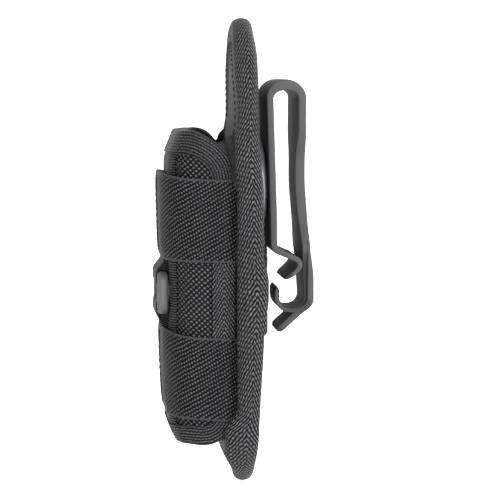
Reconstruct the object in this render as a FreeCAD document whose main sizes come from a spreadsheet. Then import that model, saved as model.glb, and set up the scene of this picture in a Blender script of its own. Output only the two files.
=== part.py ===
import FreeCAD, Part
import math
import os

# A belt holster for a tactical flashlight: a padded oval panel with an open nylon pouch on
# its front and, on its back, a plastic spring clip that the whole holster swivels on.
# Frame: +Z up, front of the pouch towards -Y, belt side towards +Y, X across the width.
# The origin is the centre of the clip's belt slot. Millimetres.

DIMENSIONS = {
    # padded back panel
    "panel_width": 62, "panel_height": 171.2, "panel_middle": -31, "panel_arch": 52,
    "panel_front": -18.7, "panel_back": -12.0,
    "tape_gauge": 0.8, "tape_reach": 10.5, "cloth_gauge": 0.8, "lining_gauge": 0.7,
    # sleeve sewn to the back of the panel, over the plate that the pivot is riveted to
    "sleeve_top": 22, "sleeve_bottom": -52, "sleeve_thin": 0.5, "sleeve_thick": 2.8,
    "sleeve_full": -30, "hem_height": 7.3, "hem_gauge": 3.2,
    "plate_width": 34, "plate_height": 72, "plate_gauge": 2.0, "plate_middle": -12,
    # swivel
    "pivot_height": -8, "dome_radius": 18.5, "dome_sphere": 63, "dome_apex": -6.5,
    "swivel_gap": 0.3, "rivet_radius": 2.5, "rivet_play": 0.08,
    "rivet_head_radius": 5.5, "rivet_head_gauge": 0.8, "rivet_sink": 0.15,
    "tail_radius": 4.5, "tail_gauge": 0.6, "washer_radius": 7,
    # snap fasteners that close the sleeve
    "snap_side": 20, "snap_height": -32.7, "snap_cap_radius": 6, "snap_cap_top": -8.2,
    "snap_cap_gauge": 0.8, "snap_ring_radius": 4.6, "snap_ring_gauge": 0.6, "snap_post_radius": 1.6,
    # pouch
    "pouch_half": 24.6, "pouch_front": -42.0, "pouch_corner": 12, "shell_gauge": 0.9,
    "foam_gauge": 1.8, "pouch_lining": 0.5, "pouch_top": 13.8, "pouch_bottom": -99.7,
    # the pouch's side outline: its rear ends, and its rounded top and foot
    "pouch_rear_top": -1, "pouch_rear_bottom": -95.4, "slope_top": -27.5, "slope_foot": -30,
    "slope_round": 10, "foot_round": 12, "brow_round": 9, "chin_round": 10,
    "rim_width": 9, "rim_gauge": 0.7, "rim_split": -50,
    "seam_width": 8.5, "seam_bottom": -84.4, "seam_height": 72.4,
    "webbing_width": 40.6, "webbing_gauge": 0.9, "webbing_top": 0, "webbing_bottom": -85.3,
    # elastic bands round the pouch
    "band_half": 26.6, "band_front": -46.3, "band_gauge": 1.1, "band_corner": 13,
    "band_height": 30, "upper_band": -33, "lower_band": -89.5,
    # accessory ring and its two webbing loops
    "ring_width": 31, "ring_height": 15.3, "ring_gauge": 3.2, "ring_middle": -45.4,
    "ring_back": -43.7, "ring_slot_width": 24.6, "ring_slot_height": 6.6, "ring_corner": 2.5,
    "ring_slot_corner": 1,
    "strap_width": 24, "strap_gauge": 0.8, "strap_reach": 8, "strap_gap": 0.1,
    # spring clip: the middle lines of its leg, tongue and lip, and of its arm, hook and tab
    "clip_gauge": 2.5, "clip_width": 38, "waist_half": 11.5, "foot_half": 17,
    "bend_y": -0.8, "bend_z": 25.3, "bend_radius": 5.8,
    "leg_top_y": -6.595, "leg_foot_y": -4.9, "leg_foot_z": -28.25, "leg_round": 2.6,
    "tongue_y": 4.4, "tongue_z": -36.1, "tongue_round": 2.2, "lip_y": 0.6, "lip_z": -40.6,
    "arm_top_y": 5.0, "arm_waist_y": 4.55, "arm_waist_z": -2, "arm_waist_round": 60,
    "arm_foot_y": 8.3, "arm_foot_z": -37, "arm_foot_round": 40, "hook_y": 8.5,
    "hook_z": -51.5, "hook_round": 6.2, "hook_tip_y": -4.3, "hook_tip_z": -43.4,
    "tab_width": 21, "tab_gauge": 2.2, "tab_root_y": 3.4, "tab_root_z": -51.6,
    "tab_tip_y": -3.1, "tab_tip_z": -59.6,
    # front outline of the arm: wide at the bend, drawn in at the waist, wide at the hook
    "shoulder_z": 15, "shoulder_round": 12, "waist_top": 3, "waist_top_round": 14,
    "waist_low": -17, "waist_low_round": 12, "heel_z": -28, "heel_round": 10,
    # play round a piece in its hole, and under the rivet's head
    "loose": 0.2, "head_play": 0.1,
    # how far a cutting tool runs past a face, and a length greater than the holster's
    "past": 1, "beyond": 200,
}

doc = FreeCAD.newDocument("flashlight_holster")
sheet = doc.addObject("Spreadsheet::Sheet", "Dimensions")
sheet.Label = "dims"
for row, (alias, number) in enumerate(DIMENSIONS.items(), start=1):
    sheet.set(f"A{row}", alias)
    sheet.set(f"B{row}", str(number))
    sheet.setAlias(f"B{row}", alias)
doc.recompute()


def dim(alias):
    """A driving dimension, read from the sheet."""
    return float(sheet.get(alias))


def bind(item, **expressions):
    """Bind properties of an object to expressions of the sheet's aliases."""
    for prop, expression in expressions.items():
        item.setExpression(prop.replace("__", "."), expression)
    return item


def in_sheet(expression):
    """A length expression in millimetres, with every alias read from the sheet."""
    words = [f"<<dims>>.{word}" if word in DIMENSIONS else word for word in expression.split()]
    return "( " + " ".join(words) + " ) * 1 mm"


def place(item, x="0", y="0", z="0"):
    """Bind an object's position to three expressions."""
    return bind(item, Placement__Base__x=in_sheet(x),
                Placement__Base__y=in_sheet(y),
                Placement__Base__z=in_sheet(z))


def geometry(corners):
    """Lines and arcs of a closed outline; each corner is (u, v) or (u, v, radius)."""
    count = len(corners)
    points = [FreeCAD.Vector(c[0], c[1], 0) for c in corners]
    starts, ends, arcs = [], [], []
    for i, corner in enumerate(corners):
        radius = corner[2] if len(corner) > 2 else 0
        here = points[i]
        back = (points[i - 1] - here).normalize()
        ahead = (points[(i + 1) % count] - here).normalize()
        if radius <= 0:
            starts.append(here)
            ends.append(here)
            arcs.append(None)
            continue
        half = back.getAngle(ahead) / 2
        reach = radius / math.tan(half)
        middle = (back + ahead).normalize()
        centre = here + middle * (radius / math.sin(half))
        starts.append(here + back * reach)
        ends.append(here + ahead * reach)
        arcs.append(centre - middle * radius)
    shapes = []
    for i in range(count):
        if arcs[i] is not None:
            shapes.append(Part.Arc(starts[i], arcs[i], ends[i]))
        following = starts[(i + 1) % count]
        if ends[i].distanceToPoint(following) > 1e-6:
            shapes.append(Part.LineSegment(ends[i], following))
    return shapes


def pad(label, plane, shapes, length):
    """A body with one sketch of the given shapes, padded by the length expression."""
    body = doc.addObject("PartDesign::Body", label)
    body.Label = label
    support = [f for f in body.Origin.OriginFeatures if f.Role == plane][0]
    sketch = body.newObject("Sketcher::SketchObject", label + "_sketch")
    sketch.AttachmentSupport = [(support, "")]
    sketch.MapMode = "FlatFace"
    for shape in shapes:
        sketch.addGeometry(shape, False)
    feature = body.newObject("PartDesign::Pad", label + "_pad")
    feature.Profile = sketch
    bind(feature, Length=in_sheet(length))
    return body


def oval(label, inset, back, gauge):
    """A slab of the panel's outline, drawn in by inset, from back towards the front."""
    half = dim("panel_width") / 2 - inset
    rise = dim("panel_arch") - inset
    low = dim("panel_middle") - dim("panel_height") / 2 + inset + half
    high = dim("panel_middle") + dim("panel_height") / 2 - dim("panel_arch")
    foot = Part.Arc(FreeCAD.Vector(-half, low, 0), FreeCAD.Vector(0, low - half, 0),
                    FreeCAD.Vector(half, low, 0))
    ellipse = Part.Ellipse(FreeCAD.Vector(0, high + rise, 0), FreeCAD.Vector(half, high, 0),
                           FreeCAD.Vector(0, high, 0))
    arch = Part.ArcOfEllipse(ellipse, -math.pi / 2, math.pi / 2)
    sides = [Part.LineSegment(FreeCAD.Vector(side, low, 0), FreeCAD.Vector(side, high, 0))
             for side in (-half, half)]
    body = pad(label, "XZ_Plane", [foot, arch, *sides], gauge)
    return place(body, y=back)


def across(label, corners, width):
    """A side profile (Y, Z) padded symmetrically across X."""
    return place(pad(label, "YZ_Plane", geometry(corners), width), x=f"0 - ( {width} ) / 2")


def upright(label, corners, bottom, height):
    """A plan outline (X, Y) padded up from bottom."""
    return place(pad(label, "XY_Plane", geometry(corners), height), z=bottom)


def block(label, width, depth, height, y, z):
    """A box centred on X with its low corner at y, z."""
    box = doc.addObject("Part::Box", label)
    bind(box, Length=in_sheet(width), Width=in_sheet(depth),
         Height=in_sheet(height))
    return place(box, x=f"0 - ( {width} ) / 2", y=y, z=z)


def disc(label, radius, gauge, top, x="0", z="pivot_height"):
    """A round plate whose axis is along Y and whose outer face lies at top."""
    cylinder = doc.addObject("Part::Cylinder", label)
    bind(cylinder, Radius=in_sheet(radius), Height=in_sheet(gauge))
    cylinder.Placement = FreeCAD.Placement(FreeCAD.Vector(),
                                           FreeCAD.Rotation(FreeCAD.Vector(1, 0, 0), 90))
    return place(cylinder, x=x, y=top, z=z)


def cut(label, base, tool):
    """Base minus tool."""
    result = doc.addObject("Part::Cut", label)
    result.Base = base
    result.Tool = tool
    return result


def common(label, base, tool):
    """What base and tool share."""
    result = doc.addObject("Part::Common", label)
    result.Base = base
    result.Tool = tool
    return result


def fuse(label, *items):
    """One solid, or one group of separate solids, from several."""
    result = doc.addObject("Part::MultiFuse", label)
    result.Shapes = list(items)
    return result


def pair(label, maker):
    """The same piece on both sides of the middle."""
    return fuse(label, maker("_left", "0 - snap_side"), maker("_right", "snap_side"))


nodes = []


def node(name, item):
    """Name an object as one of the holster's sub-parts."""
    item.Label = name
    nodes.append(item)
    return item


# ---------------------------------------------------------------- padded back panel
def panel():
    """Lining, foam and back cloth in a folded edge tape."""
    inset = dim("tape_gauge")
    front = "panel_front + tape_gauge"
    lining_back = f"{front} + lining_gauge"
    foam = "panel_back - panel_front - 2 * tape_gauge - lining_gauge - cloth_gauge"
    node("panel_front_lining", oval("lining_slab", inset, lining_back, "lining_gauge"))
    foam_back = "panel_back - tape_gauge - cloth_gauge"
    pocket = disc("foam_pocket", "tail_radius + loose", "tail_gauge + loose + past",
                  f"{foam_back} + past")
    node("panel_foam_core", cut("foam_cut", oval("foam_slab", inset, foam_back, foam), pocket))
    cloth = oval("back_slab", inset, "panel_back - tape_gauge", "cloth_gauge")
    hole = disc("back_hole", "washer_radius + loose", "cloth_gauge + 2 * past",
                "panel_back - tape_gauge + past")
    node("panel_back_cloth", cut("back_cut", cloth, hole))
    whole = "panel_back - panel_front"
    tape = oval("tape_slab", 0, "panel_back", whole)
    core = oval("tape_core", inset, "panel_back - tape_gauge", f"{whole} - 2 * tape_gauge")
    window = oval("tape_window", dim("tape_reach"), "panel_back + past", f"{whole} + 2 * past")
    node("panel_edge_binding", cut("tape_ring", cut("tape_channel", tape, core), window))


def sleeve():
    """The sleeve on the panel's back, its hem, the backing plate and the snaps."""
    back, thick = dim("panel_back"), dim("sleeve_thick")
    top, bottom = dim("sleeve_top"), dim("sleeve_bottom")
    profile = [(back, bottom), (back, top), (back + dim("sleeve_thin"), top),
               (back + thick, dim("sleeve_full")), (back + thick, bottom)]
    wedge = common("sleeve_wedge", across("sleeve_profile", profile, "panel_width"),
                   oval("sleeve_outline", 0, "beyond / 2", "beyond"))
    plate_front = "panel_back - cloth_gauge"
    plate_bottom = "plate_middle - plate_height / 2"
    plate = block("plate_block", "plate_width", "plate_gauge", "plate_height",
                  plate_front, plate_bottom)
    bore = disc("plate_bore", "rivet_radius", "beyond", "0")
    node("pivot_backing_plate", cut("plate_cut", plate, bore))
    room = block("sleeve_room", "plate_width", "plate_gauge", "plate_height",
                 plate_front, plate_bottom)
    mouth = disc("sleeve_mouth", "dome_radius + loose", "beyond", "0")
    hollow = cut("sleeve_hollow", cut("sleeve_pocket", wedge, room), mouth)
    under_cap = "snap_cap_top - snap_cap_gauge"
    under_ring = f"{under_cap} - snap_ring_gauge"
    seats = pair("snap_seats", lambda side, x: disc(
        "snap_seat" + side, "snap_cap_radius + loose", f"0 - ( {under_ring} )", "0", x,
        "snap_height"))
    bores = pair("snap_bores", lambda side, x: disc(
        "snap_bore" + side, "snap_post_radius", "beyond", "0", x, "snap_height"))
    node("back_sleeve", cut("sleeve_bored", cut("sleeve_seated", hollow, seats), bores))
    hem = block("hem_block", "panel_width", "hem_gauge", "hem_height", "panel_back",
                "sleeve_bottom - hem_height")
    node("back_sleeve_hem", common("hem_trim", hem, oval("hem_outline", 0, "beyond / 2", "beyond")))
    node("snap_caps", pair("snap_cap_pair", lambda side, x: disc(
        "snap_cap" + side, "snap_cap_radius", "snap_cap_gauge", "snap_cap_top", x, "snap_height")))
    node("snap_rings", pair("snap_ring_pair", lambda side, x: disc(
        "snap_ring" + side, "snap_ring_radius", "snap_ring_gauge", under_cap, x, "snap_height")))
    node("snap_posts", pair("snap_post_pair", lambda side, x: disc(
        "snap_post" + side, "snap_post_radius", f"{under_ring} - panel_back", under_ring,
        x, "snap_height")))


# ---------------------------------------------------------------- swivel
def swivel():
    """The domed disc that the clip turns on, with its rivet and washer."""
    ball = doc.addObject("Part::Sphere", "dome_ball")
    bind(ball, Radius=in_sheet("dome_sphere"))
    place(ball, y="dome_apex - dome_sphere", z="pivot_height")
    base = "panel_back - cloth_gauge + plate_gauge"
    puck = disc("dome_puck", "dome_radius", f"0 - ( {base} )", "0")
    dome = common("dome_cap", puck, ball)
    bore = disc("dome_bore", "rivet_radius", "beyond", "0")
    node("swivel_dome", cut("dome_bored", dome, bore))
    head_top = f"{leg_line('pivot_height')} + clip_gauge / 2 - rivet_sink"
    head = disc("rivet_head", "rivet_head_radius", "rivet_head_gauge", head_top)
    washer_back = "panel_back - cloth_gauge"
    tail_back = f"{washer_back} - cloth_gauge"
    shank = disc("rivet_shank", "rivet_radius",
                 f"{head_top} - rivet_head_gauge / 2 - ( {tail_back} )",
                 f"{head_top} - rivet_head_gauge / 2")
    tail = disc("rivet_tail", "tail_radius", "tail_gauge", tail_back)
    node("pivot_rivet", fuse("rivet_whole", head, shank, tail))
    ring = disc("washer_disc", "washer_radius", "cloth_gauge", washer_back)
    eye = disc("washer_eye", "rivet_radius", "beyond", "0")
    node("pivot_washer", cut("washer_cut", ring, eye))


# ---------------------------------------------------------------- pouch
def u_section(half, front, radius):
    """Plan outline of a U wrapped round the pouch, closed at the panel."""
    rear = dim("panel_front")
    return [(-half, rear), (-half, front, radius), (half, front, radius), (half, rear)]


def u_wall(label, inset, gauge, bottom, height):
    """A U-shaped wall of the pouch: inset from its outer face, gauge thick."""
    half, front, radius = dim("pouch_half"), dim("pouch_front"), dim("pouch_corner")
    outer = upright(label + "_outer", u_section(half - inset, front + inset, radius - inset),
                    bottom, height)
    deep = inset + gauge
    inner_section = u_section(half - deep, front + deep, radius - deep)
    inner_section[0] = (inner_section[0][0], dim("panel_front") + dim("past"))
    inner_section[-1] = (inner_section[-1][0], dim("panel_front") + dim("past"))
    inner = upright(label + "_inner", inner_section, f"{bottom} - past",
                    f"{height} + 2 * past")
    return cut(label + "_wall", outer, inner)


def side_outline(edge):
    """Side outline (Y, Z) of the pouch, drawn in by edge at its top and bottom."""
    rear, front = dim("panel_front") + dim("past"), dim("pouch_front") - 2 * dim("past")
    top, bottom = dim("pouch_top") - edge, dim("pouch_bottom") + edge
    return [(rear, dim("pouch_rear_bottom") + edge), (rear, dim("pouch_rear_top") - edge),
            (dim("slope_top"), top, dim("slope_round")), (front, top, dim("brow_round")),
            (front, bottom, dim("chin_round")), (dim("slope_foot"), bottom, dim("foot_round"))]


def pouch():
    """Three layers of wall, bound edges, and the webbing down the front."""
    low, tall = "pouch_bottom - rim_width", "pouch_top - pouch_bottom + 2 * rim_width"
    depth = 0
    for name, alias in (("pouch_shell", "shell_gauge"), ("pouch_padding", "foam_gauge"),
                        ("pouch_lining_cloth", "pouch_lining")):
        wall = u_wall(name, depth, dim(alias), low, tall)
        trim = across(name + "_side", side_outline(dim("rim_gauge")), "panel_width")
        node(name, common(name + "_trim", wall, trim))
        depth += dim(alias)
    rim = dim("rim_gauge")
    wrapped = u_wall("rim_wrap", -rim, depth + 2 * rim, low, tall)
    walls = u_wall("rim_core", 0, depth, low, tall)
    full = across("rim_full", side_outline(0), "panel_width")
    edge_core = across("rim_edge_core", side_outline(rim), "panel_width")
    filled = common("rim_filled", walls, edge_core)
    tape = cut("rim_tape", common("rim_outer", wrapped, full), filled)
    inner = across("rim_inner", side_outline(dim("rim_width")), "panel_width")
    edges = cut("rim_edges", tape, inner)
    upper_zone = block("rim_upper_zone", "beyond", "beyond", "beyond", "0 - beyond", "rim_split")
    lower_zone = block("rim_lower_zone", "beyond", "beyond", "beyond", "0 - beyond",
                       "rim_split - beyond")
    node("pouch_top_binding", common("rim_upper", edges, upper_zone))
    node("pouch_bottom_binding", common("rim_lower", edges, lower_zone))
    strips = []
    for side, place_x in (("left", "0 - pouch_half - rim_gauge"), ("right", "pouch_half")):
        strip = doc.addObject("Part::Box", "seam_" + side)
        bind(strip, Length=in_sheet("rim_gauge"),
             Width=in_sheet("seam_width"), Height=in_sheet("seam_height"))
        strips.append(place(strip, x=place_x, y="panel_front - seam_width", z="seam_bottom"))
    node("pouch_rear_bindings", fuse("seam_strips", *strips))
    gauge = dim("webbing_gauge")
    wrap = u_wall("webbing_wrap", -gauge, gauge, "webbing_bottom", "webbing_top - webbing_bottom")
    width = block("webbing_zone", "webbing_width", "pouch_corner + 2 * past", "beyond",
                  "pouch_front - 2 * past", "0 - beyond + webbing_top")
    node("front_webbing", common("webbing_trim", wrap, width))


def bands():
    """Two elastic bands, each a U round the pouch that is sewn into the panel's edges."""
    half, front, radius = dim("band_half"), dim("band_front"), dim("band_corner")
    gauge = dim("band_gauge")
    for name, bottom in (("upper_elastic_band", "upper_band"), ("lower_elastic_band", "lower_band")):
        outer = upright(name + "_outer", u_section(half, front, radius), bottom, "band_height")
        section = u_section(half - gauge, front + gauge, radius - gauge)
        section[0] = (section[0][0], dim("panel_front") + dim("past"))
        section[-1] = (section[-1][0], dim("panel_front") + dim("past"))
        inner = upright(name + "_inner", section, f"{bottom} - past", "band_height + 2 * past")
        node(name, cut(name + "_wall", outer, inner))


# ---------------------------------------------------------------- accessory ring
def ring():
    """A flat slotted ring and the two webbing loops that hold it."""
    half, tall = dim("ring_width") / 2, dim("ring_height") / 2
    slot, gap = dim("ring_slot_width") / 2, dim("ring_slot_height") / 2
    corner = dim("ring_corner")

    def rectangle(wide, high, radius):
        return geometry([(-wide, -high, radius), (-wide, high, radius),
                         (wide, high, radius), (wide, -high, radius)])

    outline = pad("ring_outline", "XZ_Plane", rectangle(half, tall, corner), "ring_gauge")
    place(outline, y="ring_back", z="ring_middle")
    opening = pad("ring_opening", "XZ_Plane", rectangle(slot, gap, dim("ring_slot_corner")),
                  "ring_gauge + 2 * past")
    place(opening, y="ring_back + past", z="ring_middle")
    node("accessory_ring", cut("ring_cut", outline, opening))
    back, front = dim("ring_back"), dim("ring_back") - dim("ring_gauge")
    gauge, reach = dim("strap_gauge"), dim("strap_reach")
    band_back = dim("band_front") + dim("band_gauge") + dim("strap_gap")
    for name, sign, hem in (("ring_strap_upper", 1, dim("upper_band")),
                            ("ring_strap_lower", -1, dim("lower_band") + dim("band_height"))):
        inner_edge = dim("ring_middle") + sign * gap
        bar = inner_edge + sign * (tall - gap)
        far = bar + sign * reach
        loop = [(back + gauge, far), (back + gauge, inner_edge - sign * gauge, gauge),
                (front - gauge, inner_edge - sign * gauge, gauge), (front - gauge, bar),
                (band_back, hem - sign * dim("strap_gap")), (band_back, far)]
        bar_hole = [(back, bar), (back, inner_edge), (front, inner_edge), (front, bar)]
        if sign < 0:
            loop.reverse()
            bar_hole.reverse()
        whole = across(name + "_loop", loop, "strap_width")
        hole = across(name + "_hole", bar_hole, "strap_width + 2 * past")
        node(name, cut(name + "_cut", whole, hole))


# ---------------------------------------------------------------- spring clip
def leg_line(height):
    """Y of the middle of the inner leg at a height: the leg leans slightly to the belt."""
    return (f"( leg_foot_y + ( {height} - leg_foot_z ) * ( leg_top_y - leg_foot_y ) "
            f"/ ( bend_z - leg_foot_z ) )")


def line_of(*names):
    """Corners (y, z, radius) of a middle line, from the sheet's aliases."""
    return [(dim(name + "_y"), dim(name + "_z"), dim(name + "_round") if rounded else 0)
            for name, rounded in names]


def raised(corners, rise):
    """A middle line whose first stretch is made longer by rise, to be cut off level."""
    (y, z, _), below = corners[0], corners[1]
    return [(y + (y - below[0]) * rise / (z - below[1]), z + rise, 0)] + corners[1:]


def strip(middle, gauge):
    """Closed outline of a strip of even gauge along a middle line of (y, z, radius)."""
    count = len(middle)
    points = [FreeCAD.Vector(p[0], p[1], 0) for p in middle]
    directions = [(points[i + 1] - points[i]).normalize() for i in range(count - 1)]
    sides = {}
    for side in (1, -1):
        line = []
        for i, point in enumerate(points):
            before = directions[max(i - 1, 0)]
            after = directions[min(i, count - 2)]
            normal = FreeCAD.Vector(-before.y - after.y, before.x + after.x, 0).normalize()
            stretch = 1 / math.cos(before.getAngle(after) / 2)
            spot = point + normal * (side * gauge / 2 * stretch)
            turn = math.copysign(1, before.x * after.y - before.y * after.x)
            inside = 0 < i < count - 1
            radius = middle[i][2] - side * turn * gauge / 2 if inside else 0
            line.append((spot.x, spot.y, radius))
        sides[side] = line
    return sides[1] + sides[-1][::-1]


def clip():
    """Inner leg with its tongue, the spring bend, and the outer arm with hook and tab."""
    gauge, top = dim("clip_gauge"), dim("bend_z")
    above = block("bend_zone", "beyond", "beyond", "beyond", "0 - beyond / 2", "bend_z")
    leg_middle = [(dim("leg_top_y"), top, 0), *line_of(("leg_foot", False))]
    leg_middle[1] = (*leg_middle[1][:2], dim("leg_round"))
    leg_middle += line_of(("tongue", True), ("lip", False))
    leg = across("leg_strip", strip(raised(leg_middle, dim("past")), gauge), "clip_width")
    level = cut("leg_level", leg, above)
    seat = doc.addObject("Part::Sphere", "leg_seat")
    bind(seat, Radius=in_sheet("dome_sphere + swivel_gap"))
    place(seat, y="dome_apex - dome_sphere", z="pivot_height")
    face = f"{leg_line('pivot_height')} + clip_gauge / 2"
    sink = disc("leg_sink", "rivet_head_radius + swivel_gap",
                "beyond + rivet_head_gauge + rivet_sink + head_play", f"{face} + beyond")
    bore = disc("leg_bore", "rivet_radius + rivet_play", "beyond", "beyond / 2")
    seated = cut("leg_seated", level, seat)
    sunk = cut("leg_sunk", seated, sink)
    node("clip_inner_leg", cut("leg_bored", sunk, bore))

    tube = doc.addObject("Part::Cylinder", "bend_tube")
    core = doc.addObject("Part::Cylinder", "bend_core")
    for item, radius, extra in ((tube, "bend_radius + clip_gauge / 2", "0"),
                                (core, "bend_radius - clip_gauge / 2", "2 * past")):
        bind(item, Radius=in_sheet(radius),
             Height=in_sheet(f"clip_width + {extra}"))
        item.Placement = FreeCAD.Placement(FreeCAD.Vector(),
                                           FreeCAD.Rotation(FreeCAD.Vector(0, 1, 0), 90))
        place(item, x=f"0 - ( clip_width + {extra} ) / 2", y="bend_y", z="bend_z")
    node("clip_spring_bend", common("bend_half", cut("bend_ring", tube, core), above))

    arm_middle = [(dim("arm_top_y"), top, 0),
                  *line_of(("arm_waist", True), ("arm_foot", True), ("hook", True))]
    arm_middle += [(dim("hook_tip_y"), dim("hook_z"), dim("hook_round")),
                   *line_of(("hook_tip", False))]
    arm = across("arm_strip", strip(raised(arm_middle, dim("past")), gauge), "clip_width")
    half, waist, foot = dim("clip_width") / 2, dim("waist_half"), dim("foot_half")
    right = [(half, dim("beyond")), (half, dim("shoulder_z"), dim("shoulder_round")),
             (waist, dim("waist_top"), dim("waist_top_round")),
             (waist, dim("waist_low"), dim("waist_low_round")),
             (foot, dim("heel_z"), dim("heel_round")), (foot, -dim("beyond"))]
    left = [(-c[0], *c[1:]) for c in reversed(right)]
    shape = pad("arm_front", "XZ_Plane", geometry(right + left), "beyond")
    place(shape, y="beyond / 2")
    trimmed = cut("arm_level", common("arm_trimmed", arm, shape), above)
    tab = across("tab_strip", strip(line_of(("tab_root", False), ("tab_tip", False)),
                                    dim("tab_gauge")), "tab_width")
    node("clip_outer_arm", fuse("arm_whole", trimmed, tab))


panel()
sleeve()
swivel()
pouch()
bands()
ring()
clip()
doc.recompute()

for item in doc.Objects:
    if "Invalid" in item.State or "Error" in item.State:
        raise RuntimeError(f"{item.Label} failed: {item.State}")
for item in nodes:
    if item.Shape.isNull() or not item.Shape.isValid():
        raise RuntimeError(f"{item.Label} has no valid shape")

os.makedirs("parts", exist_ok=True)
for item in nodes:
    item.Shape.exportStep(f"parts/{item.Label}.step")
    box = item.Shape.BoundBox
    print(f"{item.Label:22s} {len(item.Shape.Solids)} solid(s) {item.Shape.Volume:9.1f} mm3 "
          f"x {box.XMin:6.1f} {box.XMax:6.1f} y {box.YMin:6.1f} {box.YMax:6.1f} "
          f"z {box.ZMin:7.1f} {box.ZMax:6.1f}")
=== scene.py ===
import math

import bpy
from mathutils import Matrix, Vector


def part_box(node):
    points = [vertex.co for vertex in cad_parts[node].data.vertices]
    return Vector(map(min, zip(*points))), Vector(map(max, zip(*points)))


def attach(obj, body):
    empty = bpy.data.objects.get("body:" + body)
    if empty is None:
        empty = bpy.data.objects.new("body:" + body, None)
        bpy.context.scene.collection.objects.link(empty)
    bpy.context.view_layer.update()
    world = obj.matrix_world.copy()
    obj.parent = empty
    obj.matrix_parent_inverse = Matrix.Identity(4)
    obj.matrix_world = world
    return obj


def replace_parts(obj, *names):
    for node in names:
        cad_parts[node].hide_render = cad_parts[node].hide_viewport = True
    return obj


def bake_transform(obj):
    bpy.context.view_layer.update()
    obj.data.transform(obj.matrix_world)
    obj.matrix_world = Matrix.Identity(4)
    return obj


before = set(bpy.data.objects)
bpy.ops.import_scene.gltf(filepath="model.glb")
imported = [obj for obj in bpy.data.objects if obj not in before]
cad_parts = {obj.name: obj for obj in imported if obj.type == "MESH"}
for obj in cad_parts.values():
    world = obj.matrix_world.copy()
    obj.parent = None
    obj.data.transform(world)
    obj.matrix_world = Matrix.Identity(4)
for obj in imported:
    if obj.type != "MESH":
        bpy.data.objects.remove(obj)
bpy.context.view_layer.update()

# Lengths in this script are millimetres, in the shared frame: +Z up, the pouch's front towards
# -Y, the belt clip towards +Y, X across the width. Meshes are scaled to metres when made.
MM = 0.001
CLIP, ARM, HOLSTER = "clip", "clip_arm", "holster"


def span(node):
    """Lowest and highest corner of a CAD node, in millimetres."""
    low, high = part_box(node)
    return low / MM, high / MM


# ------------------------------------------------------------------ small maths
def mix(a, b, share):
    return a + (b - a) * share


def ease(low, high, value):
    """0 below low, 1 above high, smooth between."""
    share = min(max((value - low) / (high - low), 0.0), 1.0)
    return share * share * (3 - 2 * share)


def bump_at(value, centre, reach):
    """A smooth hill of height 1 at centre that ends reach away from it."""
    return 1 - ease(0, reach, abs(value - centre))


def steps(low, high, pitch):
    """Evenly spaced values from low to high, about pitch apart."""
    count = max(int(round(abs(high - low) / pitch)), 1)
    return [mix(low, high, i / count) for i in range(count + 1)]


# ------------------------------------------------------------------ mesh making
def flat_section(low, high, pitch, under, over, edge=0.35):
    """Closed section of a strip: across from low to high, between heights under and over."""
    soft = edge * (over - under)
    middle = steps(low + soft, high - soft, pitch)
    top = [(low, over - soft)] + [(c, over) for c in middle] + [(high, over - soft)]
    base = [(low, under + soft)] + [(c, under) for c in middle] + [(high, under + soft)]
    return top + base[::-1]


def sweep(name, stations, section, place, loop=False, weave=None):
    """A closed mesh: section (c, h) carried along the stations; place(s, c, h) gives the point.

    The section's first half is its outer side and its second half comes back along the
    inner side, so the ends close with a ladder of quads between the two.
    weave(s, c) gives the cloth coordinates, in millimetres, that the materials read."""
    weave = weave or (lambda s, c: (c, s))
    width = len(section)
    points, faces, coords = [], [], []
    rows = stations[:-1] if loop else stations
    for s in rows:
        points += [Vector(place(s, c, h)) * MM for c, h in section]
    for i in range(len(stations) - 1):
        below, above = i * width, ((i + 1) % len(rows)) * width
        for j in range(width):
            k = (j + 1) % width
            faces.append((below + j, below + k, above + k, above + j))
            coords += [weave(stations[i], section[j][0]), weave(stations[i], section[k][0]),
                       weave(stations[i + 1], section[k][0]),
                       weave(stations[i + 1], section[j][0])]
    if not loop:
        for end, s in ((0, stations[0]), ((len(rows) - 1) * width, stations[-1])):
            for j in range(width // 2 - 1):
                ring = [j, width - 1 - j, width - 2 - j, j + 1]
                if end:
                    ring.reverse()
                faces.append(tuple(end + k for k in ring))
                coords += [weave(s, section[k][0]) for k in ring]
    return mesh_piece(name, points, faces, coords)


def tube_faces(first, rings, turns):
    """Quads that join rings of points, each of turns points, from index first on."""
    faces = []
    for i in range(rings - 1):
        for t in range(turns):
            a, b = first + i * turns + t, first + i * turns + (t + 1) % turns
            faces.append((a, a + turns, b + turns, b))
    return faces


def mesh_piece(name, points, faces, coords=None, sharp=50):
    mesh = bpy.data.meshes.new(name)
    mesh.from_pydata(points, [], faces)
    if coords:
        layer = mesh.uv_layers.new(name="weave")
        for loop, uv in zip(layer.data, coords):
            loop.uv = uv
    mesh.update()
    mesh.shade_smooth()
    mesh.set_sharp_from_angle(angle=math.radians(sharp))
    piece = bpy.data.objects.new(name, mesh)
    bpy.context.scene.collection.objects.link(piece)
    return piece


def lathe(name, profile, centres, turns=48):
    """Solids of revolution about axes along Y; profile is (radius, y) from tip to tip."""
    points, faces = [], []
    for x, z in centres:
        first = len(points)
        for radius, y in profile:
            for t in range(turns):
                angle = 2 * math.pi * t / turns
                points.append(Vector((x + radius * math.cos(angle), y,
                                      z + radius * math.sin(angle))) * MM)
        faces += tube_faces(first, len(profile), turns)
        last = first + (len(profile) - 1) * turns
        for ring in ([first + t for t in range(turns)],
                     [last + t for t in reversed(range(turns))]):
            faces.append(tuple(ring))
    return mesh_piece(name, points, faces, sharp=35)


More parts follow.
